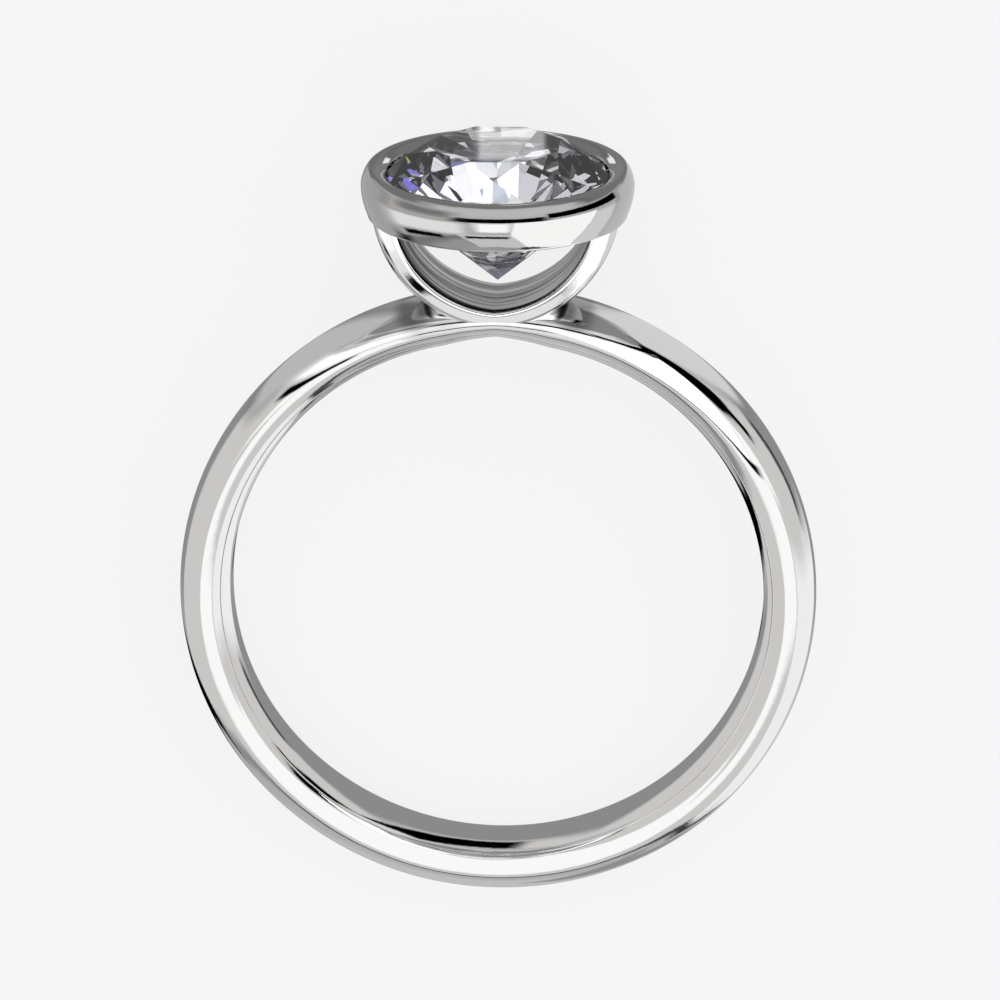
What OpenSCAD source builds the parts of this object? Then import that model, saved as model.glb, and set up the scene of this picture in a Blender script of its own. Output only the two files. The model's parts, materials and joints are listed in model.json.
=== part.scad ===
// Bezel set ring: a plain comfort-fit band, a round bezel cup carried on a U-shaped bow, and one
// round brilliant stone. Millimetres. The ring is drawn upright about the middle of its finger hole,
// with the stone up (+Z) and the hole along Y, and is then laid on its side as it rests on a table.

/* [Band] */
// Inside diameter of the finger hole
finger_d = 16.5; // [15:0.1:19]
// Width of the band along the finger
band_w = 3.0; // [2.6:0.1:3.6]
// Thickness of the band from the finger side to the outer side
band_t = 1.57; // [1.4:0.01:2]
// Radius of the rounded edges of the band
band_edge_r = 0.65; // [0.4:0.01:0.66]
// Width of the straight strip in the middle of the finger side
bore_flat_w = 1.0; // [0.8:0.1:1.4]

/* [Bow] */
// Thickness of the bow in the middle of its domed outer side
bow_t = 0.8; // [0.72:0.01:0.95]
// Thickness of the bow at its front and back faces
bow_side_t = 0.55; // [0.45:0.01:0.65]
// Height of the centre of the bow's curve above the underside of the bezel
bow_rise = 0.58; // [0.4:0.01:0.8]
// How far the centre of each half of the bow lies past the middle, which gives the U its pointed foot
bow_point = 0.24; // [0.1:0.01:0.3]
// How far the bow's outer side stands in from the foot of the bezel
bow_inset = 0.14; // [0.05:0.01:0.25]

/* [Bezel] */
// Height of the bezel from its underside to the top of its rim
bezel_h = 1.51; // [1.4:0.01:1.7]
// Width of the rim from its opening to the outside of its rounding
rim_w = 0.73; // [0.65:0.01:0.85]
// Diameter of the rounding along the top of the rim
rim_t = 0.53; // [0.46:0.01:0.58]
// Angle at which the rim slopes down towards the stone
rim_slope = 19; // [14:1:22]
// How far the rim reaches in over the stone's girdle
rim_grip = 0.195; // [0.15:0.005:0.21]
// Height of the top of the rim above the girdle
rim_rise = 0.39; // [0.38:0.01:0.45]
// Radius of the bulge of the bezel's outer wall
bezel_bulge_r = 2.33; // [2:0.01:3.2]
// How far the widest place of the wall is below the middle of the rim's rounding
bulge_drop = 0.32; // [0.2:0.01:0.4]
// Radius of the rounding round the bezel's foot
foot_r = 0.1; // [0.06:0.01:0.15]
// Wall left between the bezel's outer foot and the hole under the stone
foot_wall = 1.22; // [1:0.01:1.3]

/* [Stone] */
// Diameter of the stone at its girdle
stone_d = 7.2; // [6.5:0.05:8]
// Diameter of the table from corner to corner
table_d = 4.05; // [3.6:0.05:4.4]
// Angle of the main crown facets to the girdle
crown_angle = 34.0; // [32:0.1:36]
// Angle of the main pavilion facets to the girdle
pavilion_angle = 40.6; // [40:0.1:42]
// Thickness of the girdle at the main facets
girdle_t = 0.17; // [0.15:0.01:0.24]
// Reach of the star facets from the table to the girdle
star_length = 0.5; // [0.4:0.01:0.6]
// Reach of the lower half facets from the girdle to the culet
lower_half_length = 0.78; // [0.7:0.01:0.85]
// Height of the stone's point above the finger
culet_clear = 1.765; // [1.6:0.005:1.9]
// Gap between the stone and the metal round it
stone_gap = 0.03; // [0.02:0.005:0.05]

/* [Hidden] */
$fn = 96;
hoop_fn = 180;
mains = 8;
girdle_steps = 4;
metal_color = [0.80, 0.80, 0.81];
stone_color = [0.86, 0.89, 0.96, 0.6];

// Stone heights, from its girdle's underside up and down
stone_r = stone_d / 2;
table_r = table_d / 2;
half_step = 360 / mains / 2;
quarter_step = half_step / 2;
pavilion_h = stone_r * tan(pavilion_angle);
crown_h = (stone_r - table_r) * tan(crown_angle);
culet_z = finger_d / 2 + culet_clear;
girdle_low_z = culet_z + pavilion_h;
girdle_top_z = girdle_low_z + girdle_t;
table_z = girdle_top_z + crown_h;

// Facet geometry: a facet is a plane that meets the radius rho at height z, under a slope
chord_rho = stone_r * cos(quarter_step);
table_rho = table_r * cos(half_step);
star_tip_r = table_rho + star_length * (stone_r - table_rho);
star_tip_z = table_z - (star_tip_r * cos(half_step) - table_r) * tan(crown_angle);
star_slope = atan((table_z - star_tip_z) / (star_tip_r - table_rho));
upper_half_slope = atan((star_tip_z - girdle_top_z) / (chord_rho - star_tip_r * cos(quarter_step)));
lower_tip_r = (1 - lower_half_length) * stone_r;
lower_tip_z = culet_z + lower_tip_r * cos(half_step) * tan(pavilion_angle);
lower_half_slope = atan((girdle_low_z - lower_tip_z) / (chord_rho - lower_tip_r * cos(quarter_step)));
// Steepest lines that the facet edges follow, which the seat keeps clear of
crown_edge_slope = atan((star_tip_z - girdle_top_z) / (stone_r - star_tip_r));
pavilion_edge_slope = atan((girdle_low_z - lower_tip_z) / (stone_r - lower_tip_r));

// Bezel places
open_r = stone_r - rim_grip;
rim_r = open_r + rim_w - rim_t / 2;
rim_z = girdle_top_z + rim_rise - rim_t / 2;
slope_r = rim_r - rim_t / 2 * sin(rim_slope);
slope_z = rim_z + rim_t / 2 * cos(rim_slope);
lip_z = slope_z - (slope_r - open_r) * tan(rim_slope);
bezel_low_z = girdle_top_z + rim_rise - bezel_h;
// The wall's bulge touches the rim's rounding from outside
touch_r = bezel_bulge_r - rim_t / 2;
bulge_x = rim_r - sqrt(pow(touch_r, 2) - pow(bulge_drop, 2));
bulge_z = rim_z - bulge_drop;
touch_z = bulge_z + bezel_bulge_r * bulge_drop / touch_r;
foot_z = bezel_low_z + foot_r;
foot_x = bulge_x + sqrt(pow(bezel_bulge_r - foot_r, 2) - pow(bulge_z - foot_z, 2));
foot_edge_r = bulge_x + sqrt(pow(bezel_bulge_r, 2) - pow(bulge_z - bezel_low_z, 2));
under_hole_r = foot_edge_r - foot_wall;

// Bow places: each half is a hoop about a centre just past the middle
bow_z = bezel_low_z + bow_rise;
bow_r = sqrt(pow(foot_edge_r - bow_inset + bow_point, 2) + pow(bow_rise, 2));
bow_inner_r = bow_r - bow_t;
bow_dome = bow_t - bow_side_t;
bow_dome_r = (pow(band_w / 2, 2) + pow(bow_dome, 2)) / (2 * bow_dome);
bow_top_z = bezel_low_z + foot_r;
// How far cutting shapes run past what they cut, and how far the hole under the stone is reamed on
room = 2;
ream = 0.1;

// Band section: the finger side is an arc with a narrow straight strip honed to the finger's size
band_a = band_w / 2;
band_b = band_t / 2;
band_rho = edge_r(band_b, band_edge_r);
band_dome_r = dome_r(band_a, band_b, band_rho);
flat_depth = band_dome_r - sqrt(pow(band_dome_r, 2) - pow(bore_flat_w / 2, 2));
band_mid_r = finger_d / 2 - flat_depth + band_b;

// Rest pose: the shank's edge and the bezel's bulge both touch the table
edge_y = band_a - band_rho;
rest_run = bulge_z + band_mid_r;
rest_side = bulge_x - edge_y;
rest_tilt = atan(rest_side / rest_run) + asin((bezel_bulge_r - band_rho) / norm([rest_run, rest_side]));
lift = band_rho + edge_y * cos(rest_tilt) + band_mid_r * sin(rest_tilt);
far_y = table_rho * sin(rest_tilt) + table_z * cos(rest_tilt);
near_y = -band_dome_r - (band_mid_r + band_b - band_dome_r) * cos(rest_tilt);

// An edge is never rounder than its wall allows
function edge_r(b, wanted) = min(wanted, 0.9 * b);
// Radius of the broad arcs of an oval whose edges have the radius rho
function dome_r(a, b, rho) = (pow(a - rho, 2) + pow(b, 2) - pow(rho, 2)) / (2 * (b - rho));

// Oval section of four arcs, w wide along Y and t thick along X
module oval(w, t, wanted_edge_r) {
    a = w / 2;
    b = t / 2;
    rho = edge_r(b, wanted_edge_r);
    R = dome_r(a, b, rho);
    edge_angle = atan((a - rho) / (R - b));
    intersection() {
        translate([b - R, 0]) circle(r = R);
        translate([R - b, 0]) circle(r = R);
        square([2 * t, 2 * R * sin(edge_angle)], center = true);
    }
    for (side = [-1, 1])
        translate([0, side * (a - rho)]) circle(r = rho);
}

module about_finger_axis() {
    rotate([90, 0, 0]) rotate_extrude($fn = hoop_fn) children();
}

// Plain round hoop of the band
module band() {
    about_finger_axis() translate([band_mid_r, 0]) oval(band_w, band_t, band_edge_r);
}

// The same half of the bow on both sides: children are turned about that half's own centre
module bow_halves(top_z) {
    reach = bow_r + bow_point + room;
    for (side = [-1, 1])
        intersection() {
            translate([-side * bow_point, 0, bow_z]) about_finger_axis() children();
            translate([side > 0 ? 0 : -reach, -reach, top_z - 2 * reach]) cube([reach, 2 * reach, 2 * reach]);
        }
}

// Bow with its U still filled in: flat front and back, domed outer side
module bow_filled() {
    bow_halves(bow_top_z) {
        intersection() {
            translate([bow_r - bow_dome_r, 0]) circle(r = bow_dome_r);
            translate([0, -band_w / 2]) square([bow_r, band_w]);
        }
    }
}

// Open space of the U
module bow_window() {
    bow_halves(bezel_low_z) translate([0, -band_w / 2 - room]) square([bow_inner_r, band_w + 2 * room]);
}

// Bezel cup, solid inside: rim rounded outwards and sloped towards the stone, bulged wall, rounded foot
module bezel_filled() {
    rotate_extrude() {
        translate([rim_r, rim_z]) circle(r = rim_t / 2);
        polygon([[0, foot_z], [rim_r, foot_z], [rim_r, rim_z], [slope_r, slope_z], [open_r, lip_z], [0, lip_z]]);
        intersection() {
            translate([bulge_x, bulge_z]) circle(r = bezel_bulge_r);
            translate([0, foot_z]) square([rim_r + rim_t, touch_z - foot_z]);
        }
        translate([0, bezel_low_z]) square([foot_x, foot_r]);
        translate([foot_x, foot_z]) circle(r = foot_r);
    }
}

// Seat cut into the bezel: the stone's outline with its gap, the hole under it and the opening over it
module seat() {
    wide_r = stone_r + stone_gap;
    low_z = girdle_low_z - stone_gap;
    top_z = girdle_top_z + stone_gap;
    rotate_extrude() polygon([
        [0, bezel_low_z - ream],
        [under_hole_r, bezel_low_z - ream],
        [under_hole_r, low_z - (wide_r - under_hole_r) * tan(pavilion_edge_slope)],
        [wide_r, low_z],
        [wide_r, top_z],
        [open_r, top_z + (wide_r - open_r) * tan(crown_edge_slope)],
        [open_r, rim_z + rim_t],
        [0, rim_z + rim_t]
    ]);
}

// Band, bow and bezel are cast and soldered as one piece of metal
module band_and_bezel() {
    color(metal_color) lay_down()
    difference() {
        union() {
            difference() {
                union() {
                    band();
                    bow_filled();
                }
                bow_window();
            }
            bezel_filled();
        }
        seat();
        rotate([90, 0, 0]) cylinder(h = band_w + 2 * room, r = finger_d / 2, center = true, $fn = hoop_fn);
    }
}

// Height of the girdle's upper and lower edge at an angle: each half facet dips into the girdle
function off_chord(angle) =
    stone_r * cos(angle - (floor(angle / half_step) + 0.5) * half_step) - chord_rho;
function girdle_upper(angle) = girdle_top_z - off_chord(angle) * tan(upper_half_slope);
function girdle_lower(angle) = girdle_low_z + off_chord(angle) * tan(lower_half_slope);
function around(r, angle, z) = [r * cos(angle), r * sin(angle), z];

// Round brilliant: table, 8 stars, 8 crown mains, 16 upper halves, 16 lower halves, 8 pavilion mains
module brilliant() {
    count = 2 * mains * girdle_steps;
    step = 360 / count;
    // Rings of corners, with the crown mains at odd half steps
    points = concat(
        [for (i = [0 : mains - 1]) around(table_r, (2 * i + 1) * half_step, table_z)],
        [for (i = [0 : mains - 1]) around(star_tip_r, 2 * i * half_step, star_tip_z)],
        [for (j = [0 : count - 1]) around(stone_r, j * step, girdle_upper(j * step))],
        [for (j = [0 : count - 1]) around(stone_r, j * step, girdle_lower(j * step))],
        [for (i = [0 : mains - 1]) around(lower_tip_r, 2 * i * half_step, lower_tip_z)],
        [[0, 0, culet_z]]
    );
    star = mains;
    upper = 2 * mains;
    lower = upper + count;
    tip = lower + count;
    culet = tip + mains;
    per_main = 2 * girdle_steps;
    faces = concat(
        [[for (i = [mains - 1 : -1 : 0]) i]],
        [for (i = [0 : mains - 1]) let (n = (i + 1) % mains) [i, n, star + n]],
        [for (i = [0 : mains - 1]) let (n = (i + 1) % mains)
            [i, star + n, upper + i * per_main + girdle_steps, star + i]],
        [for (i = [0 : mains - 1]) concat([star + i],
            [for (j = [girdle_steps : -1 : 0]) upper + (i * per_main + j) % count])],
        [for (i = [0 : mains - 1]) concat([star + i],
            [for (j = [count : -1 : count - girdle_steps]) upper + (i * per_main + j) % count])],
        [for (j = [0 : count - 1]) let (n = (j + 1) % count) [upper + j, upper + n, lower + n, lower + j]],
        [for (i = [0 : mains - 1]) concat([tip + i],
            [for (j = [0 : girdle_steps]) lower + (i * per_main + j) % count])],
        [for (i = [0 : mains - 1]) concat([tip + i],
            [for (j = [count - girdle_steps : count]) lower + (i * per_main + j) % count])],
        [for (i = [0 : mains - 1]) let (n = (i + 1) % mains)
            [culet, tip + i, lower + i * per_main + girdle_steps, tip + n]]
    );
    polyhedron(points, faces);
}

module stone() {
    color(stone_color) lay_down() brilliant();
}

// Lays the upright ring on its side: the hole's axis comes up, and the stone points along +Y
module lay_down() {
    translate([0, -(far_y + near_y) / 2, lift]) rotate([rest_tilt - 90, 0, 0]) children();
}

band_and_bezel();
stone();
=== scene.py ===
import json
import math

import bmesh
import bpy
from mathutils import Matrix, Vector
from mathutils.geometry import interpolate_bezier


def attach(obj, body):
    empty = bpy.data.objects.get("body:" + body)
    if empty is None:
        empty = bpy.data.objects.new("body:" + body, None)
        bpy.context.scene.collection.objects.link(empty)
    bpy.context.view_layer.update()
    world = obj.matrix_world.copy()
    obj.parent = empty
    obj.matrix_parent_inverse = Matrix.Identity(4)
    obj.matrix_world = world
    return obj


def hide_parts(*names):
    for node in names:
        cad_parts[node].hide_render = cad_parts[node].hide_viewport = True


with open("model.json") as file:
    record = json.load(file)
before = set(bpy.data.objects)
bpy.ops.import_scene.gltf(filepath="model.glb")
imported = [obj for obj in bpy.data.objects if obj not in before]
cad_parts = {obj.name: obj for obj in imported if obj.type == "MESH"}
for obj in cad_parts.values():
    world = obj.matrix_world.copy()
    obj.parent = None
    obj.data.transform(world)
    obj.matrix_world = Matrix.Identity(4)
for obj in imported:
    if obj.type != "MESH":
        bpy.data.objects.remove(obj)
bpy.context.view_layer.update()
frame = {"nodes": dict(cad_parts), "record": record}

mm = 0.001
imageSide = 1000  # pixels of the photograph and the render
fingerAxis = Vector((0, 1, 0))
stoneAxis = Vector((0, 0, 1))
bore = next(m for m in frame["record"]["mounts"] if m["name"] == "finger_bore")
holeRadius = bore["dims"]["r_mm"]


def ringSpace():
    # The ring is modelled upright about its finger hole in mm, stone up, and then laid as the frame lies
    across = -Vector(bore["axis"]).normalized()
    right = Vector((1, 0, 0))
    up = right.cross(across)
    turn = Matrix((right, across, up)).transposed().to_4x4()
    return Matrix.Translation(bore["pos_m"]) @ turn @ Matrix.Scale(mm, 4)


ringToRow = ringSpace()


# Camera and studio

view = {
    "distance": 230.0,  # mm from the middle of the finger hole
    "elevation": 20.336,
    "azimuth": 2.82,
    "scale": 32.242,  # pixels for each mm at that distance
    "holePixel": (497.667, 587.147),  # where the middle of the hole lands
    "sensor": 36,
    "clipStart": 10,  # mm
}


def addCamera():
    elevation = math.radians(view["elevation"])
    azimuth = math.radians(view["azimuth"])
    back = Vector((math.sin(azimuth) * math.cos(elevation), -math.cos(azimuth) * math.cos(elevation),
                   math.sin(elevation)))
    place = Matrix.Translation(back * view["distance"])
    right = Vector((math.cos(azimuth), math.sin(azimuth), 0))
    up = back.cross(right)
    focal = view["scale"] * view["distance"]
    pan = math.atan((view["holePixel"][0] - imageSide / 2) / focal)
    tilt = math.atan((view["holePixel"][1] - imageSide / 2) / focal * math.cos(pan))
    turn = Matrix.Rotation(pan, 3, up)
    right, back = turn @ right, turn @ back
    turn = Matrix.Rotation(tilt, 3, right)
    up, back = turn @ up, turn @ back
    toRow = ringToRow @ place @ Matrix((right, up, back)).transposed().to_4x4()
    data = bpy.data.cameras.new("camera")
    data.sensor_width = view["sensor"]
    data.lens = focal / imageSide * data.sensor_width
    data.clip_start = view["clipStart"] * mm
    camera = bpy.data.objects.new("camera", data)
    camera.matrix_world = Matrix.LocRotScale(toRow.translation, toRow.to_quaternion(), None)
    bpy.context.scene.collection.objects.link(camera)
    bpy.context.scene.camera = camera


# Panels of the light tent, laid over one another in this order. Directions are the ring's own, in
# degrees: azimuth 0 is towards the viewer and grows to the right, elevation grows towards the stone.
# A panel with "edge" is placed by its height over the edge of the table
studio = {
    "walls": (0.62, 0.61, 0.60),
    "backdrop": (0.948, 0.948, 0.948),
    # Elevation of the table's edge every 30 degrees of azimuth, from -180 to 180
    "tableEdge": (-22, -29, -38, -47, -47, -42, -43, -54, -64, -67, -61, -45, -22),
    "panels": {
        "ceiling": {"az": 0, "wide": 360, "el": 90, "tall": 60, "soft": (1, 14), "tone": 0.29},
        "backWall": {"az": 180, "wide": 78, "el": 9, "tall": 66, "soft": (8, 14), "tone": 0.27},
        "rightCard": {"az": 100, "wide": 110, "el": -36, "tall": 50, "soft": (6, 12), "tone": 0.90},
        "backGap": {"az": 158, "wide": 72, "el": 51, "tall": 13, "soft": (10, 3), "tone": 0.0},
        "rightFlag": {"az": 93, "wide": 60, "el": 44, "tall": 34, "soft": (8, 6), "tone": 0.0},
        "flagFoot": {"az": 98, "wide": 22, "el": 26, "tall": 12, "soft": (8, 4), "tone": 0.0},
        "flagLine": {"az": 139, "wide": 6, "el": 2, "tall": 20, "soft": (4, 6), "tone": 0.05},
        "frontTent": {"az": 9, "wide": 92, "el": 29, "tall": 60, "soft": (6, 8), "tone": 1.01},
        "frontTentLow": {"az": 10, "wide": 60, "el": -8, "tall": 34, "soft": (6, 8), "tone": 1.01},
        "topRightTent": {"az": 50, "wide": 74, "el": 66, "tall": 26, "soft": (8, 6), "tone": 1.06},
        "table": {"az": 0, "wide": 400, "edge": -50, "tall": 100, "soft": (1, 2), "tone": 0.44},
        "tableNear": {"az": 0, "wide": 400, "edge": -60, "tall": 80, "soft": (1, 20), "tone": 0.54},
        "tableRight": {"az": 95, "wide": 130, "edge": -24, "tall": 34, "soft": (30, 6), "tone": 0.28},
        "edgeLeft": {"az": -136, "wide": 92, "edge": 0, "tall": 8, "soft": (12, 3), "tone": 0.0},
        "edgeSide": {"az": -58, "wide": 80, "edge": 1, "tall": 7, "soft": (16, 7), "tone": 0.26},
        "edgeFront": {"az": 5, "wide": 70, "edge": 0, "tall": 5, "soft": (20, 4), "tone": 0.06},
        "edgeRight": {"az": 85, "wide": 110, "edge": 0, "tall": 4, "soft": (20, 3), "tone": 0.05},
    },
}

# What shines through the stone: a plainer and darker tent, with crisp panels that give crisp facets
stoneLight = {
    "walls": (0.20, 0.20, 0.25),
    "tint": (1.0, 1.01, 1.05),
    "panels": {
        "under": {"az": 0, "wide": 360, "el": -75, "tall": 75, "tone": 0.9},
        "backWindow": {"az": 180, "wide": 110, "el": -30, "tall": 75, "tone": 1.5},
        "windowPost": {"az": 165, "wide": 15, "el": -30, "tall": 75, "tone": 0.65,
                       "tint": (0.86, 0.95, 1.15)},
        "windowShelf": {"az": 180, "wide": 110, "el": -40, "tall": 7, "tone": 0.7},
        "frontWall": {"az": -25, "wide": 70, "el": 10, "tall": 40, "tone": 0.9},
        "leftWall": {"az": -70, "wide": 70, "el": 45, "tall": 35, "tone": 0.8},
        "topLamp": {"az": 0, "wide": 40, "el": 60, "tall": 20, "tone": 1.0},
        "frontShade": {"az": -20, "wide": 65, "el": 50, "tall": 25, "tone": 0.1},
        "rightWall": {"az": 80, "wide": 40, "el": 20, "tall": 45, "tone": 0.85},
        "rightLamp": {"az": 70, "wide": 35, "el": 35, "tall": 30, "tone": 1.5},
        "rightSlat": {"az": 95, "wide": 30, "el": -15, "tall": 20, "tone": 1.5},
        "leftShade": {"az": -110, "wide": 60, "el": -35, "tall": 80, "tone": 0.0},
        "leftSlat": {"az": -80, "wide": 25, "el": -25, "tall": 30, "tone": 1.5},
        # Small coloured cards stand for the stone's fire
        "blueCard": {"az": 42, "wide": 12, "el": 11, "tall": 14, "tone": 1.0, "tint": (0.30, 0.26, 1.0)},
        "yellowCard": {"az": -132, "wide": 12, "el": 3, "tall": 12, "tone": 0.7,
                       "tint": (0.95, 0.9, 0.2)},
        "tealCard": {"az": -122, "wide": 8, "el": -5, "tall": 8, "tone": 0.4, "tint": (0.25, 0.8, 1.0)},
    },
}

# Cards close round the head, on a sleeve about the stone's axis, that are only seen mirrored:
# azimuth as above, height in mm above the middle of the finger hole
nearCards = {
    "radius": 9.0,
    "low": 3.0,
    "high": 32.0,
    "steps": 96,
    "panels": {
        "lid": {"az": 0, "wide": 400, "height": 27, "tall": 18, "soft": (1, 3), "tone": 0.24},
        "veil": {"az": 10, "wide": 124, "height": 16.2, "tall": 4, "soft": (30, 2), "tone": 0.72},
        "lidRight": {"az": 108, "wide": 84, "height": 18.4, "tall": 6.4, "soft": (30, 0.8),
                     "tone": 0.24},
        "lidLeft": {"az": -104, "wide": 100, "height": 18.6, "tall": 5, "soft": (30, 1.2), "tone": 0.24},
        "endRight": {"az": 126, "wide": 54, "height": 10.6, "tall": 8.6, "soft": (12, 1.5), "tone": 0.66},
        "endLeft": {"az": -112, "wide": 56, "height": 10.8, "tall": 9, "soft": (24, 1.5), "tone": 0.50},
        "glowLeft": {"az": -50, "wide": 70, "height": 10.3, "tall": 3.6, "soft": (26, 1.8), "tone": 1.10},
        "cradle": {"az": 180, "wide": 66, "height": 12.2, "tall": 4.6, "soft": (14, 1), "tone": 0.56},
        "tableGlow": {"az": 180, "wide": 14, "height": 16.95, "tall": 1.3, "soft": (2, 0.2),
                      "tone": 1.2},
        "shine": {"az": 0, "wide": 26, "height": 10.8, "tall": 2.8, "soft": (12, 1.2), "tone": 1.45},
        "bounce": {"az": 42, "wide": 62, "height": 8.6, "tall": 8.0, "soft": (3, 0.4), "tone": 1.40,
                   "lean": 0.6},
        "bounceCut": {"az": -1, "wide": 40, "height": 6.9, "tall": 4.4, "soft": (3, 0.4), "tone": 0.80,
                      "lean": -3.8},
        "seamLeft": {"az": 4, "wide": 66, "height": 13.3, "tall": 1.7, "soft": (14, 0.4), "tone": 0.0},
        "seamRight": {"az": 66, "wide": 62, "height": 14.1, "tall": 1.6, "soft": (4, 0.3), "tone": 0.0},
        "seamFar": {"az": -48, "wide": 44, "height": 14.6, "tall": 2.0, "soft": (24, 1.6), "tone": 0.25},
        "wedge": {"az": -56, "wide": 36, "height": 7.9, "tall": 1.1, "soft": (6, 0.5), "tone": 0.0},
        "lowLine": {"az": -5, "wide": 32, "height": 8.0, "tall": 0.7, "soft": (4, 0.3), "tone": 0.0},
        "bounceEdge": {"az": 50, "wide": 50, "height": 4.4, "tall": 0.5, "soft": (6, 0.2), "tone": 0.0},
    },
}


def mathNode(tree, operation, *values):
    node = tree.nodes.new("ShaderNodeMath")
    node.operation = operation
    for socket, value in zip(node.inputs, values):
        if isinstance(value, bpy.types.NodeSocket):
            tree.links.new(value, socket)
        else:
            socket.default_value = value
    return node.outputs[0]


def fadeNode(tree, value, start, end, full=1):
    # Falls smoothly from full to 0 between start and end
    fade = tree.nodes.new("ShaderNodeMapRange")
    fade.interpolation_type = "SMOOTHSTEP"
    tree.links.new(value, fade.inputs["Value"])
    fade.inputs["From Min"].default_value = start
    fade.inputs["From Max"].default_value = end
    fade.inputs["To Min"].default_value = full
    fade.inputs["To Max"].default_value = 0
    return fade.outputs["Result"]


def bandMask(tree, distance, size, soft):
    # 1 inside half the size, falling to 0 across the soft edge
    distance = mathNode(tree, "ABSOLUTE", distance)
    return fadeNode(tree, distance, (size - soft) / 2, (size + soft) / 2)


def mixColour(tree, share, under, over):
    node = tree.nodes.new("ShaderNodeMix")
    node.data_type = "RGBA"
    factor, a, b = node.inputs["Factor"], node.inputs[6], node.inputs[7]
    for socket, value in ((factor, share), (a, under), (b, over)):
        if isinstance(value, bpy.types.NodeSocket):
            tree.links.new(value, socket)
        elif socket is factor:
            socket.default_value = value
        else:
            socket.default_value = (*value, 1)
    return node.outputs[2]


def mixShader(tree, share, under, over):
    mix = tree.nodes.new("ShaderNodeMixShader")
    for socket, value in zip(mix.inputs, (share, under, over)):
        tree.links.new(value, socket)
    return mix.outputs[0]


def background(tree, colour):
    node = tree.nodes.new("ShaderNodeBackground")
    if isinstance(colour, bpy.types.NodeSocket):
        tree.links.new(colour, node.inputs["Color"])
    else:
        node.inputs["Color"].default_value = (*colour, 1)
    return node.outputs[0]


def degreesFrom(tree, angle, middle):
    return mathNode(tree, "WRAP", mathNode(tree, "SUBTRACT", angle, float(middle)), 180.0, -180.0)


def layPanels(tree, azimuth, along, panels, colour, edge=None, tint=(1, 1, 1)):
    # Lays the panels over the colour, and returns the new colour and how much of it the panels cover
    cover = 0.0
    for panel in panels.values():
        up = mathNode(tree, "SUBTRACT", along, edge) if "edge" in panel else along
        level = next(panel[key] for key in ("edge", "el", "height") if key in panel)
        up = mathNode(tree, "SUBTRACT", up, float(level))
        across = degreesFrom(tree, azimuth, panel["az"])
        if "lean" in panel:
            lean = mathNode(tree, "MULTIPLY", up, panel["lean"])
            across = mathNode(tree, "SUBTRACT", across, lean)
        soft = panel.get("soft", (2, 2))
        share = mathNode(tree, "MULTIPLY", bandMask(tree, across, panel["wide"], soft[0]),
                         bandMask(tree, up, panel["tall"], soft[1]))
        tone = tuple(panel["tone"] * t for t in panel.get("tint", tint))
        colour = mixColour(tree, share, colour, tone)
        cover = mathNode(tree, "MAXIMUM", cover, share)
    return colour, cover


def tableEdge(tree, azimuth):
    # Elevation of the table's edge at an azimuth, read from a curve that runs from 0 to 1 both ways
    heights = studio["tableEdge"]
    curve = tree.nodes.new("ShaderNodeFloatCurve")
    points = curve.mapping.curves[0].points
    for i, height in enumerate(heights):
        place = (i / (len(heights) - 1), height / 90 + 1)
        if i in (0, len(heights) - 1):
            points[0 if i == 0 else -1].location = place
        else:
            points.new(*place)
    curve.mapping.update()
    turn = mathNode(tree, "DIVIDE", mathNode(tree, "ADD", azimuth, 180.0), 360.0)
    tree.links.new(turn, curve.inputs["Value"])
    return mathNode(tree, "MULTIPLY", mathNode(tree, "SUBTRACT", curve.outputs[0], 1.0), 90.0)


def ringParts(tree, vector):
    # A direction or place of the scene along the ring's own three axes
    turn = ringToRow.to_quaternion().to_matrix()
    parts = []
    for axis in range(3):
        dot = tree.nodes.new("ShaderNodeVectorMath")
        dot.operation = "DOT_PRODUCT"
        tree.links.new(vector, dot.inputs[0])
        dot.inputs[1].default_value = turn.col[axis]
        parts.append(dot.outputs["Value"])
    return parts


def ringPlace(tree, coordinates):
    # Place on a piece along the ring's own axes, in mm from the middle of the finger hole
    place = tree.nodes.new("ShaderNodeVectorMath")
    place.operation = "SUBTRACT"
    tree.links.new(coordinates, place.inputs[0])
    place.inputs[1].default_value = ringToRow.to_translation()
    return [mathNode(tree, "DIVIDE", part, mm) for part in ringParts(tree, place.outputs["Vector"])]


def azimuthOf(tree, x, y):
    backwards = mathNode(tree, "MULTIPLY", y, -1.0)
    return mathNode(tree, "MULTIPLY", mathNode(tree, "ARCTAN2", x, backwards), 180 / math.pi)


def addStudio():
    world = bpy.data.worlds.new("studio")
    world.use_nodes = True
    world.cycles.sampling_method = "NONE"  # the tent is soft all round, so no rays are aimed at it
    bpy.context.scene.world = world
    tree = world.node_tree
    tree.nodes.clear()
    x, y, z = ringParts(tree, tree.nodes.new("ShaderNodeTexCoord").outputs["Generated"])
    azimuth = azimuthOf(tree, x, y)
    elevation = mathNode(tree, "MULTIPLY", mathNode(tree, "ARCSINE", z), 180 / math.pi)
    onMetal = layPanels(tree, azimuth, elevation, studio["panels"], studio["walls"],
                        tableEdge(tree, azimuth))[0]
    inStone = layPanels(tree, azimuth, elevation, stoneLight["panels"], stoneLight["walls"],
                        tint=stoneLight["tint"])[0]
    # Straight to the camera the studio is one pale backdrop
    path = tree.nodes.new("ShaderNodeLightPath")
    tent = mixShader(tree, path.outputs["Is Transmission Ray"], background(tree, onMetal),
                     background(tree, inStone))
    seen = mixShader(tree, path.outputs["Is Camera Ray"], tent, background(tree, studio["backdrop"]))
    output = tree.nodes.new("ShaderNodeOutputWorld")
    tree.links.new(seen, output.inputs["Surface"])
    bpy.context.scene.view_settings.view_transform = "Standard"


table = {
    "radius": 1.5,  # metres
    "steps": 96,
    "glow": 0.80,
    "grey": 0.16,
    "mottle": {"scale": 40, "dim": 0.99},
}


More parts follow.
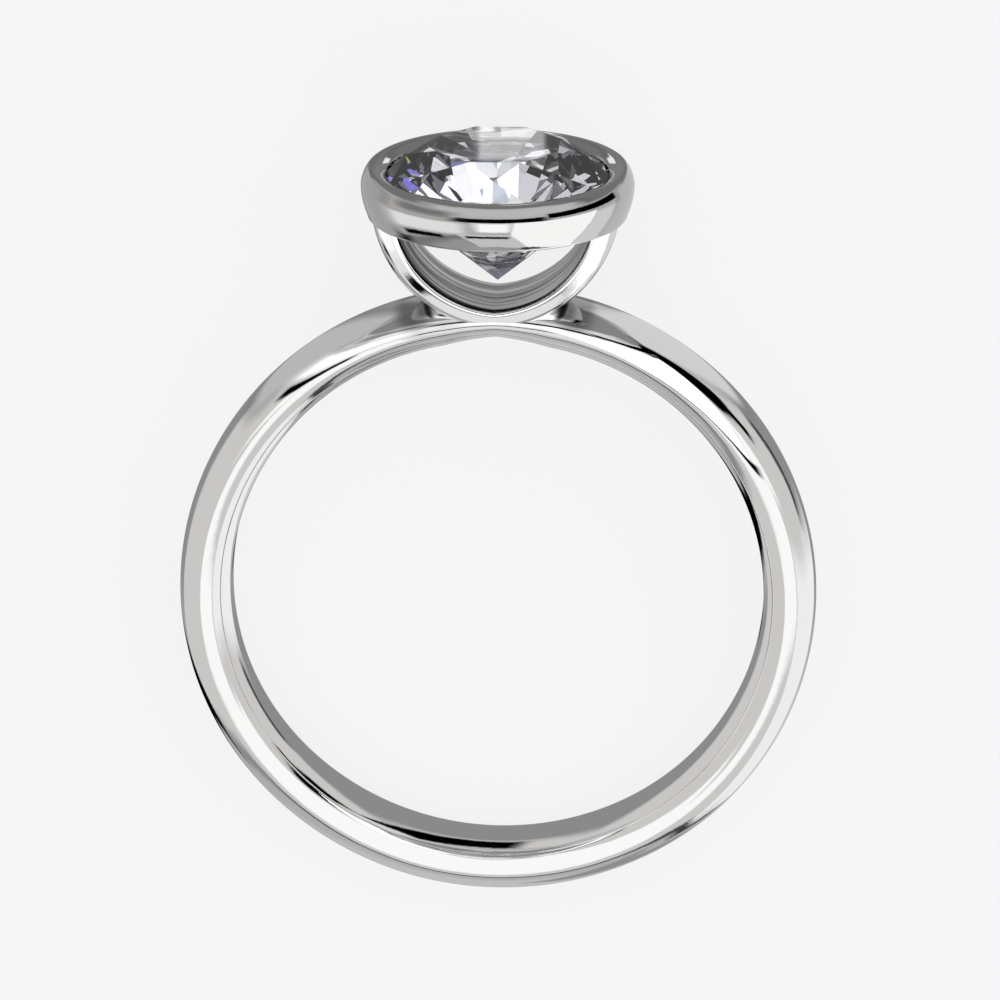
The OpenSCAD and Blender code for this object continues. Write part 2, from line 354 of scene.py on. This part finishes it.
def addTable():
    bm = bmesh.new()
    bmesh.ops.create_circle(bm, cap_ends=True, segments=table["steps"], radius=table["radius"])
    floor = makeObject(bm, "floor", tableMaterial())
    floor.visible_glossy = False  # the metal and the stone mirror the light tent, not the table
    floor.visible_transmission = False


def addNearCards():
    bm = bmesh.new()
    rim = bm.verts.new((nearCards["radius"], 0, nearCards["low"]))
    drawLine(bm, rim, [(nearCards["radius"], 0, nearCards["high"])])
    bmesh.ops.spin(bm, geom=bm.verts[:] + bm.edges[:], cent=(0, 0, 0), axis=stoneAxis,
                   angle=2 * math.pi, steps=nearCards["steps"], use_merge=True, use_duplicate=False)
    bmesh.ops.transform(bm, matrix=ringToRow, verts=bm.verts)
    cards = makeObject(bm, "nearCards", nearCardMaterial())
    cards.visible_camera = False
    cards.visible_diffuse = False
    cards.visible_transmission = False
    cards.visible_shadow = False


def nearCardMaterial():
    material, tree, shader = newMaterial("nearCards")
    tree.nodes.remove(shader)
    x, y, height = ringPlace(tree, objectCoordinates(tree))
    colour, cover = layPanels(tree, azimuthOf(tree, x, y), height, nearCards["panels"], (0.0, 0.0, 0.0))
    glow = tree.nodes.new("ShaderNodeEmission")
    tree.links.new(colour, glow.inputs["Color"])
    clear = tree.nodes.new("ShaderNodeBsdfTransparent")
    seen = mixShader(tree, cover, clear.outputs[0], glow.outputs[0])
    tree.links.new(seen, tree.nodes["Material Output"].inputs["Surface"])
    return material


def tableMaterial():
    material, tree, shader = newMaterial("litTable")
    mottle = noiseNode(tree, objectCoordinates(tree), table["mottle"]["scale"])
    grey = (table["grey"],) * 3
    colour = toneRamp(tree, mottle, [g * table["mottle"]["dim"] for g in grey], grey)
    tree.links.new(colour, shader.inputs["Base Color"])
    shader.inputs["Roughness"].default_value = 0.9
    shader.inputs["Specular IOR Level"].default_value = 0.0
    shader.inputs["Emission Color"].default_value = (1, 1, 1, 1)
    shader.inputs["Emission Strength"].default_value = table["glow"]
    return material


# Tools shared by the pieces

def newMaterial(name):
    material = bpy.data.materials.new(name)
    material.use_nodes = True
    tree = material.node_tree
    return material, tree, tree.nodes["Principled BSDF"]


def objectCoordinates(tree):
    return tree.nodes.new("ShaderNodeTexCoord").outputs["Object"]


def noiseNode(tree, coordinates, scale, detail=2.0, roughness=0.5):
    noise = tree.nodes.new("ShaderNodeTexNoise")
    noise.inputs["Scale"].default_value = scale
    noise.inputs["Detail"].default_value = detail
    noise.inputs["Roughness"].default_value = roughness
    tree.links.new(coordinates, noise.inputs["Vector"])
    return noise.outputs["Fac"]


def toneRamp(tree, value, low, high, spread=(0, 1)):
    # Goes from one tone to the other while the value passes through the spread
    ramp = tree.nodes.new("ShaderNodeValToRGB")
    for element, place, tone in zip(ramp.color_ramp.elements, spread, (low, high)):
        element.position = place
        element.color = (*tone, 1)
    tree.links.new(value, ramp.inputs["Fac"])
    return ramp.outputs["Color"]


def varyRoughness(tree, shader, value, limits):
    rough = tree.nodes.new("ShaderNodeMapRange")
    rough.inputs["To Min"].default_value = limits[0]
    rough.inputs["To Max"].default_value = limits[1]
    tree.links.new(value, rough.inputs["Value"])
    tree.links.new(rough.outputs["Result"], shader.inputs["Roughness"])


def addBump(tree, shader, height, distance, strength=1.0):
    bump = tree.nodes.new("ShaderNodeBump")
    bump.inputs["Strength"].default_value = strength
    bump.inputs["Distance"].default_value = distance
    tree.links.new(height, bump.inputs["Height"])
    tree.links.new(bump.outputs["Normal"], shader.inputs["Normal"])


def makeObject(bm, name, material):
    mesh = bpy.data.meshes.new(name)
    bm.to_mesh(mesh)
    bm.free()
    mesh.materials.append(material)
    piece = bpy.data.objects.new(name, mesh)
    bpy.context.scene.collection.objects.link(piece)
    return piece


def finishPiece(bm, name, material, sharpAngle):
    # Lays the piece down with the ring, and gives it smooth faces with crisp corners
    bmesh.ops.remove_doubles(bm, verts=bm.verts, dist=1e-4)
    bmesh.ops.recalc_face_normals(bm, faces=bm.faces)
    bmesh.ops.transform(bm, matrix=ringToRow, verts=bm.verts)
    for face in bm.faces:
        face.smooth = True
    for edge in bm.edges:
        if len(edge.link_faces) == 2 and edge.calc_face_angle() > math.radians(sharpAngle):
            edge.smooth = False
    piece = makeObject(bm, name, material)
    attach(piece, "root")
    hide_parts("band_and_bezel")
    print(f"{name}: {len(piece.data.polygons)} faces")
    return piece


def drawArc(bm, start, centre, axis, angle, steps):
    # Draws on from a vertex along an arc, and returns its last vertex
    drawn = bmesh.ops.spin(bm, geom=[start], cent=centre, axis=axis, angle=angle, steps=steps,
                           use_duplicate=False)
    return next(e for e in drawn["geom_last"] if isinstance(e, bmesh.types.BMVert))


def drawLine(bm, start, points):
    for point in points:
        after = bm.verts.new(point)
        bm.edges.new((start, after))
        start = after
    return start


def flat(x, y):
    return Vector((x, y, 0))


def upright(x, z):
    return Vector((x, 0, z))


# Band, a closed court section of four arcs that is spun about the finger

band = {
    "width": 3.0,
    "thickness": 1.60,
    "edgeRadius": 0.65,
    "reamed": 0.037,  # how far the finger side's dome is honed flat
    "topWear": 0.15,  # how much thinner the shoulders are at the top
    # Swells of the outer side by hand work: direction and width in degrees from the right, height
    "swells": ((-33, 60, 0.11), (-165, 50, 0.06), (22, 40, 0.04)),
    "peak": 0.20,  # the hole's small peak under the bow
    "peakWidth": 1.6,
    "domeSteps": 24,
    "edgeSteps": 20,
    "steps": 384,
    "sharp": 50,
}


def drawBandSection(bm, middle):
    # Thick along X and wide along Y
    across, deep, edge = band["width"] / 2, band["thickness"] / 2, band["edgeRadius"]
    dome = ((across - edge) ** 2 + deep ** 2 - edge ** 2) / (2 * (deep - edge))
    half = math.atan((across - edge) / (dome - deep))
    start = flat(middle + deep - dome + dome * math.cos(half), -dome * math.sin(half))
    v = bm.verts.new(start)
    v = drawArc(bm, v, flat(middle + deep - dome, 0), stoneAxis, 2 * half, band["domeSteps"])
    v = drawArc(bm, v, flat(middle, across - edge), stoneAxis, math.pi - 2 * half, band["edgeSteps"])
    v = drawArc(bm, v, flat(middle + dome - deep, 0), stoneAxis, 2 * half, band["domeSteps"])
    drawArc(bm, v, flat(middle, edge - across), stoneAxis, math.pi - 2 * half, band["edgeSteps"])
    bmesh.ops.remove_doubles(bm, verts=bm.verts, dist=1e-5)


def wornRadius(x, z):
    # Where a point of the evenly spun band lies on the worn one
    radius = math.hypot(x, z)
    up = z / radius
    outer = min(max((radius - holeRadius) / band["thickness"], 0), 1)
    worn = max(radius, holeRadius) - band["topWear"] * max(up, 0) ** 2 * outer
    turn = math.degrees(math.atan2(z, x))
    for direction, width, height in band["swells"]:
        away = abs((turn - direction + 180) % 360 - 180) / width
        worn += height * outer * math.cos(min(away, 1) * math.pi / 2) ** 2
    if up > 0:
        near = max(0, 1 - abs(x) / band["peakWidth"])
        worn += band["peak"] * near * (1 - outer) ** 2
    return worn


def addBand(material):
    bm = bmesh.new()
    middle = holeRadius - band["reamed"] + band["thickness"] / 2
    drawBandSection(bm, middle)
    bmesh.ops.spin(bm, geom=bm.verts[:] + bm.edges[:], cent=(0, 0, 0), axis=fingerAxis,
                   angle=2 * math.pi, steps=band["steps"], use_merge=True, use_duplicate=False)
    for v in bm.verts:
        share = wornRadius(v.co.x, v.co.z) / math.hypot(v.co.x, v.co.z)
        v.co.x *= share
        v.co.z *= share
        if v.co.z > 0:
            v.co.z = min(v.co.z, bowHollow(v.co.x))
    return finishPiece(bm, "band", material, band["sharp"])


def bowHollow(x):
    # Height to which the band is filed down where the bow passes through it
    reach = bowOuterRadius() - bow["thickness"] + bow["bedding"]
    across = abs(x - bow["aside"]) + bow["point"]
    if across >= reach:
        return math.inf
    return bezelUnderside() + bow["rise"] - math.sqrt(reach ** 2 - across ** 2)


# Bezel, a closed section of curves that is spun about the stone's axis

girdle = {"low": 13.0706, "high": 13.2406}  # of the stone, above the middle of the finger hole

bezel = {
    # Corners of the section (from the stone's axis, above the middle of the finger hole)
    "lip": (3.405, 13.45),
    "crest": (3.90, 13.655),
    "wide": (4.165, 13.08),
    "foot": (3.968, 12.20),
    # Handles of the curves between them
    "lipHandles": ((3.50, 13.56), (3.70, 13.655)),
    "crestHandles": ((3.99, 13.655), (4.165, 13.33)),
    "wallHandles": ((4.165, 12.77), (4.085, 12.50)),
    "footRadius": 0.05,
    "underHole": 2.7485,
    "seatRadius": 3.63,
    "seatSlope": 0.86,  # rise of the seat for each mm outwards
    "seatRoom": 0.06,  # above the girdle
    "lipFace": 0.02,  # height of the lip's upright face
    "lipSteps": 24,
    "wallSteps": 40,
    "footSteps": 8,
    "steps": 320,
    "sharp": 35,
}


def bezelUnderside():
    return bezel["foot"][1] - bezel["footRadius"]


def drawCurve(bm, start, handles, end, steps):
    # Draws on from a vertex along a bezier curve, and returns its last vertex
    leave, arrive = handles
    points = interpolate_bezier(start.co, upright(*leave), upright(*arrive), upright(*end), steps)
    return drawLine(bm, start, points[1:])


def addBezel(material):
    bm = bmesh.new()
    hole, seat = bezel["underHole"], bezel["seatRadius"]
    footX, footZ = bezel["foot"]
    lipX, lipZ = bezel["lip"]
    corner = upright(footX - bezel["footRadius"], footZ)
    first = bm.verts.new(upright(lipX, lipZ))
    v = drawCurve(bm, first, bezel["lipHandles"], bezel["crest"], bezel["lipSteps"])
    v = drawCurve(bm, v, bezel["crestHandles"], bezel["wide"], bezel["wallSteps"])
    v = drawCurve(bm, v, bezel["wallHandles"], bezel["foot"], bezel["wallSteps"])
    v = drawArc(bm, v, corner, fingerAxis, math.pi / 2, bezel["footSteps"])
    v = drawLine(bm, v, [
        upright((hole + corner.x) / 2, bezelUnderside()),
        upright(hole, bezelUnderside()),
        upright(hole, girdle["low"] - (seat - hole) * bezel["seatSlope"]),
        upright(seat, girdle["low"]),
        upright(seat, girdle["high"] + bezel["seatRoom"]),
        upright(lipX, lipZ - bezel["lipFace"]),
    ])
    bm.edges.new((v, first))
    bmesh.ops.spin(bm, geom=bm.verts[:] + bm.edges[:], cent=(0, 0, 0), axis=stoneAxis,
                   angle=2 * math.pi, steps=bezel["steps"], use_merge=True, use_duplicate=False)
    return finishPiece(bm, "bezel", material, bezel["sharp"])


# Bow, spun about the finger's direction in two halves that meet in a shallow point

bow = {
    "width": 2.955,
    "thickness": 0.80,  # in the middle of the domed outer side
    "sideThickness": 0.55,
    "edgeRadius": 0.19,
    "rise": 0.58,  # centre of the curve above the bezel's underside
    "point": 0.24,  # how far each half's centre lies past the middle
    "inset": 0.18,  # how far the arms stand in from the bezel's foot
    "aside": -0.05,  # the bow is soldered on this far to the right
    "sunk": 0.05,  # how far the arms reach into the bezel
    "bedding": 0.30,  # how deep under the bow's inner side the band is filed away
    "flatEdge": 0.03,  # short faces beside the rounded edges keep the flat sides flat
    "streakReach": 0.06,  # how far the streaks go over the rounded edge of the inner side
    "sweep": 100,
    "domeSteps": 30,
    "edgeSteps": 8,
    "steps": 120,
    "sharp": 50,
}


def bowOuterRadius():
    return math.hypot(bezel["foot"][0] - bow["inset"] + bow["point"], bow["rise"])


def drawBowSection(bm, inner):
    # Flat towards the stone, domed outside; thick along X and wide along Y
    half, edge, rim = bow["width"] / 2, bow["edgeRadius"], bow["flatEdge"]
    dome = bow["thickness"] - bow["sideThickness"]
    domeRadius = (half ** 2 + dome ** 2) / (2 * dome)
    middle = inner + bow["thickness"] - domeRadius
    side = middle + math.sqrt((domeRadius - edge) ** 2 - (half - edge) ** 2)
    lean = math.atan2(half - edge, side - middle)
    steps = bow["edgeSteps"]
    v = bm.verts.new(flat(middle + domeRadius * math.cos(lean), -domeRadius * math.sin(lean)))
    v = drawArc(bm, v, flat(middle, 0), stoneAxis, 2 * lean, bow["domeSteps"])
    v = drawArc(bm, v, flat(side, half - edge), stoneAxis, math.pi / 2 - lean, steps)
    v = drawLine(bm, v, [flat(side - rim, half), flat(inner + edge + rim, half),
                         flat(inner + edge, half)])
    v = drawArc(bm, v, flat(inner + edge, half - edge), stoneAxis, math.pi / 2, steps)
    v = drawLine(bm, v, [flat(inner, half - edge - rim), flat(inner, edge + rim - half),
                         flat(inner, edge - half)])
    v = drawArc(bm, v, flat(inner + edge, edge - half), stoneAxis, math.pi / 2, steps)
    v = drawLine(bm, v, [flat(inner + edge + rim, -half), flat(side - rim, -half), flat(side, -half)])
    drawArc(bm, v, flat(side, edge - half), stoneAxis, math.pi / 2 - lean, steps)
    bmesh.ops.remove_doubles(bm, verts=bm.verts, dist=1e-5)


def everything(bm):
    return bm.verts[:] + bm.edges[:] + bm.faces[:]


def markInnerSide(bm, inner, centreHeight):
    # The bow's inner side and the start of its rounded edges take the second material
    for face in bm.faces:
        middle = face.calc_center_median()
        inward = upright(-math.copysign(bow["point"], middle.x), centreHeight) - middle
        inward.y = 0
        looksIn = face.normal.dot(inward.normalized()) > math.cos(math.pi / 4)
        if looksIn and inward.length - inner < bow["streakReach"]:
            face.material_index = 1


def addBow(material, innerMaterial):
    bm = bmesh.new()
    low = bezelUnderside()
    centreHeight = low + bow["rise"]
    inner = bowOuterRadius() - bow["thickness"]
    drawBowSection(bm, inner)
    bmesh.ops.spin(bm, geom=bm.verts[:] + bm.edges[:], cent=(0, 0, 0), axis=fingerAxis,
                   angle=math.radians(bow["sweep"]), steps=bow["steps"], use_merge=False,
                   use_duplicate=False)
    bmesh.ops.translate(bm, verts=bm.verts, vec=(-bow["point"], 0, centreHeight))
    bmesh.ops.bisect_plane(bm, geom=everything(bm), dist=1e-6, plane_co=(0, 0, low + bow["sunk"]),
                           plane_no=stoneAxis, clear_outer=True)
    ends = [e for e in bm.edges if e.is_boundary and e.verts[0].co.z > low]
    bmesh.ops.holes_fill(bm, edges=ends, sides=0)
    bmesh.ops.bisect_plane(bm, geom=everything(bm), dist=1e-6, plane_co=(0, 0, 0), plane_no=(1, 0, 0),
                           clear_inner=True)
    bmesh.ops.mirror(bm, geom=everything(bm), matrix=Matrix(), merge_dist=1e-4, axis="X")
    for edge in bm.edges:
        if all(abs(v.co.x) < 1e-4 for v in edge.verts):
            edge.smooth = False
    bmesh.ops.recalc_face_normals(bm, faces=bm.faces)
    markInnerSide(bm, inner, centreHeight)
    bmesh.ops.translate(bm, verts=bm.verts, vec=(bow["aside"], 0, 0))
    piece = finishPiece(bm, "bow", material, bow["sharp"])
    piece.data.materials.append(innerMaterial)
    return piece


# Finishes

metal = {
    "band": {"tone": (0.95, 0.945, 0.94), "roughness": (0.02, 0.06)},
    # Painted shade: the bezel is the same metal as the band, given a darker tone to stand in for the
    # dimmer light it mirrors
    "bezel": {"tone": (0.66, 0.655, 0.65), "roughness": (0.03, 0.08)},
    # Faint clouds in the polish
    "clouds": {"scale": 900, "detail": 3, "dim": 0.97},
    # Size and depth in mm
    "wear": {"waves": (1.2, 0.008), "scuffs": (0.12, 0.0006)},
    # Painted shade: the band is darkened in the corners where the bow meets it, and more faintly round
    # them, where it mirrors the bow's light
    "creaseShade": {"at": (2.12, 9.50), "dark": 0.06, "clean": 0.34, "tone": 0.03},
    "shadeHaze": {"at": (2.50, 9.35), "dark": 0.32, "clean": 0.80, "share": 0.55},
}

# The bow's inner side keeps the streaks of the file along its curve
streaks = {
    "tones": ((0.05, 0.048, 0.046), (0.90, 0.885, 0.87)),
    "spread": (0.38, 0.62),
    "length": 5.0,
    "width": 0.16,
    "scale": 0.5,
    "detail": 4,
    "fray": 0.6,
    "roughness": (0.30, 0.42),
    "depth": 0.01,
    "strength": 0.25,
    # Painted shade: a dark line along the front edge of the inner side, thinner to the right
    "edge": {"y": -1.25, "lean": 0.08, "soft": 0.05, "tone": 0.02},
}


def awayFrom(tree, x, z, spot):
    # Distance from a spot beside the bow, the same on its left and right
    side = mathNode(tree, "ABSOLUTE", mathNode(tree, "SUBTRACT", x, bow["aside"]))
    side = mathNode(tree, "SUBTRACT", side, spot[0])
    rise = mathNode(tree, "SUBTRACT", z, spot[1])
    sideSquare = mathNode(tree, "POWER", side, 2.0)
    riseSquare = mathNode(tree, "POWER", rise, 2.0)
    return mathNode(tree, "SQRT", mathNode(tree, "ADD", sideSquare, riseSquare))


# Painted shade: a dark core in each corner by the bow, with a fainter painted shade round it
def paintedShadeMask(tree, coordinates):
    creaseShade, shadeHaze = metal["creaseShade"], metal["shadeHaze"]
    x, y, z = ringPlace(tree, coordinates)
    core = fadeNode(tree, awayFrom(tree, x, z, creaseShade["at"]), creaseShade["dark"], creaseShade["clean"])
    rim = fadeNode(tree, awayFrom(tree, x, z, shadeHaze["at"]), shadeHaze["dark"], shadeHaze["clean"], shadeHaze["share"])
    return mathNode(tree, "MAXIMUM", core, rim)


def metalMaterial(name):
    spec, clouds, wear = metal[name], metal["clouds"], metal["wear"]
    material, tree, shader = newMaterial(name + "Polish")
    shader.inputs["Metallic"].default_value = 1.0
    coordinates = objectCoordinates(tree)
    cloud = noiseNode(tree, coordinates, clouds["scale"], clouds["detail"])
    colour = toneRamp(tree, cloud, [t * clouds["dim"] for t in spec["tone"]], spec["tone"])
    # The band gets painted shade in the corners by the bow
    if name == "band":
        colour = mixColour(tree, paintedShadeMask(tree, coordinates), colour, (metal["creaseShade"]["tone"],) * 3)
    tree.links.new(colour, shader.inputs["Base Color"])
    varyRoughness(tree, shader, cloud, spec["roughness"])
    # Faint waves and fine scuffs from wear and polishing
    height = 0.0
    for size, depth in (wear["waves"], wear["scuffs"]):
        bumps = mathNode(tree, "MULTIPLY", noiseNode(tree, coordinates, 1 / (size * mm)), depth)
        height = mathNode(tree, "ADD", height, bumps)
    addBump(tree, shader, height, mm)
    return material


def streakMaterial():
    # Streaks run along the bow's curve, so they change fast across its width and slowly along it
    material, tree, shader = newMaterial("bowStreaks")
    shader.inputs["Metallic"].default_value = 1.0
    x, y, z = ringPlace(tree, objectCoordinates(tree))
    stretched = tree.nodes.new("ShaderNodeCombineXYZ")
    sizes = (streaks["length"], streaks["width"], streaks["length"])
    for socket, part, size in zip(stretched.inputs, (x, y, z), sizes):
        tree.links.new(mathNode(tree, "DIVIDE", part, size), socket)
    streak = noiseNode(tree, stretched.outputs[0], streaks["scale"], streaks["detail"], streaks["fray"])
    colour = toneRamp(tree, streak, *streaks["tones"], streaks["spread"])
    # Painted shade: a dark line painted along the front edge of the inner side
    edge = streaks["edge"]
    across = mathNode(tree, "ADD", y, mathNode(tree, "MULTIPLY", x, edge["lean"]))
    paintedEdgeShade = fadeNode(tree, across, edge["y"] - edge["soft"], edge["y"] + edge["soft"])
    colour = mixColour(tree, paintedEdgeShade, colour, (edge["tone"],) * 3)
    tree.links.new(colour, shader.inputs["Base Color"])
    varyRoughness(tree, shader, streak, streaks["roughness"])
    addBump(tree, shader, streak, streaks["depth"] * mm, streaks["strength"])
    return material


# The facets are polished and the girdle is left frosted
clearStone = {
    "tint": (0.965, 0.975, 1.0),
    "cloudScale": 600,
    "frost": 0.35,
    "frostSoft": 0.01,
    "ior": 2.42,
}


def stoneMaterial():
    material, tree, shader = newMaterial("clearStone")
    coordinates = objectCoordinates(tree)
    cloud = noiseNode(tree, coordinates, clearStone["cloudScale"])
    colour = toneRamp(tree, cloud, clearStone["tint"], (1, 1, 1))
    tree.links.new(colour, shader.inputs["Base Color"])
    z = ringPlace(tree, coordinates)[2]
    fromMiddle = mathNode(tree, "SUBTRACT", z, (girdle["low"] + girdle["high"]) / 2)
    frosted = bandMask(tree, fromMiddle, girdle["high"] - girdle["low"], clearStone["frostSoft"])
    frosted = mathNode(tree, "MULTIPLY", frosted, clearStone["frost"])
    tree.links.new(frosted, shader.inputs["Roughness"])
    shader.inputs["IOR"].default_value = clearStone["ior"]
    shader.inputs["Transmission Weight"].default_value = 1.0
    return material


addCamera()
addStudio()
addTable()
addNearCards()
print("studio ready")
bandPolish = metalMaterial("band")
addBand(bandPolish)
addBow(bandPolish, streakMaterial())
addBezel(metalMaterial("bezel"))
stone = frame["nodes"]["stone"]
stone.data.materials.clear()
stone.data.materials.append(stoneMaterial())
print("stone finished")
